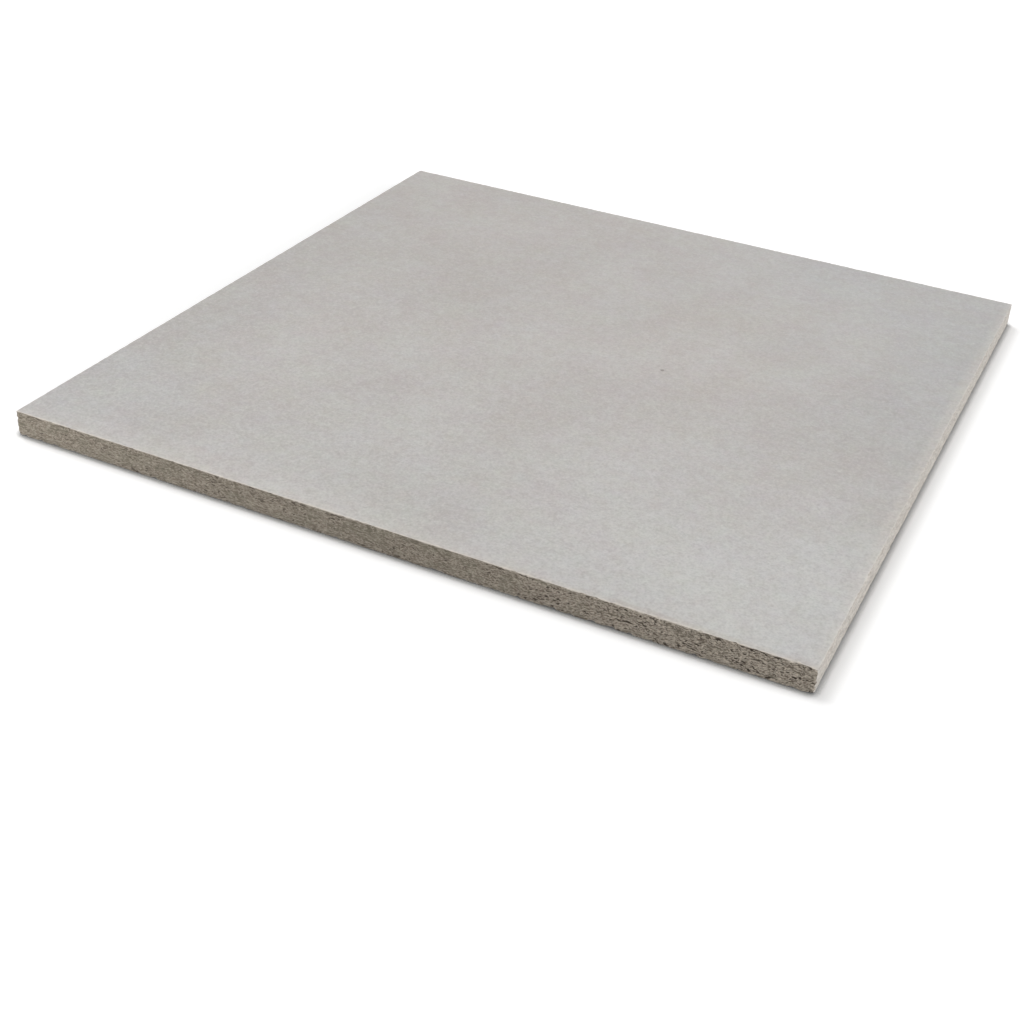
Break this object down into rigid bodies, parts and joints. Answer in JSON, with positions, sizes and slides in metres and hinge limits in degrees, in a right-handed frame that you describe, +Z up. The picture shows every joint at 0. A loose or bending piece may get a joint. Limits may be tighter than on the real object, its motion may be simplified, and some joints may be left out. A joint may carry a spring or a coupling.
{
  "type": "cement board",
  "caption": "Flat square sheet of cement-bonded wood particles with smooth grey faces and sawn edges, used as flooring, lining or tile backing.",
  "frame": {"origin": "middle of the underside, as the board lies flat on a level floor", "axes": "+X along the front edge, +Y from the front edge to the back edge, +Z up through the thickness"},
  "size_m": [0.625, 0.625, 0.02],
  "materials": {
    "cement_bonded_particles": "matt grey cement, smooth pressed faces and rough sawn edges"
  },
  "bodies": {
    "root": {"cement_board": "cement_bonded_particles"}
  },
  "joints": []
}
